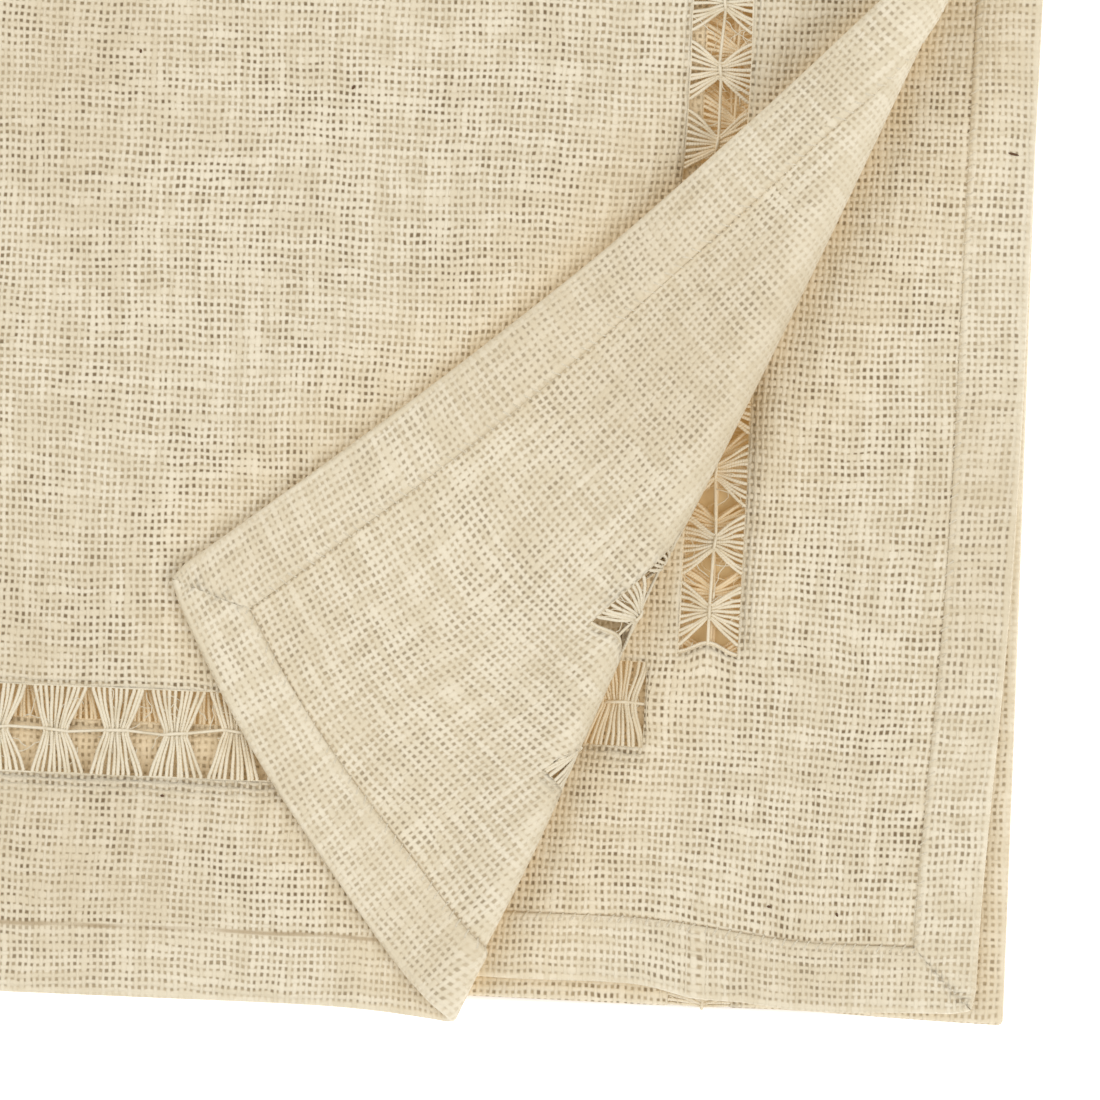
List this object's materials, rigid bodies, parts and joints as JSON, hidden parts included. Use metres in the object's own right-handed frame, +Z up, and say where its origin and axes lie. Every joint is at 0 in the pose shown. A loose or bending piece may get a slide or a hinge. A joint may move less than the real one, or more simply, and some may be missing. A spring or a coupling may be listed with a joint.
{
  "type": "folded table runner",
  "caption": "Natural cotton table runner with turned hems and drawn-thread bands, folded flat in layers with the corner of its top layer turned back.",
  "frame": {"origin": "middle of the box of the folded runner, on the surface that it rests on", "axes": "+X across the runner, +Y along it towards the two nested folds, +Z up, away from the surface"},
  "size_m": [0.406, 0.4666, 0.0304],
  "materials": {
    "natural_cotton": "loose plain weave of thick unbleached cotton yarn, matte"
  },
  "bodies": {
    "root": {"runner_cloth": "natural_cotton"}
  },
  "joints": []
}
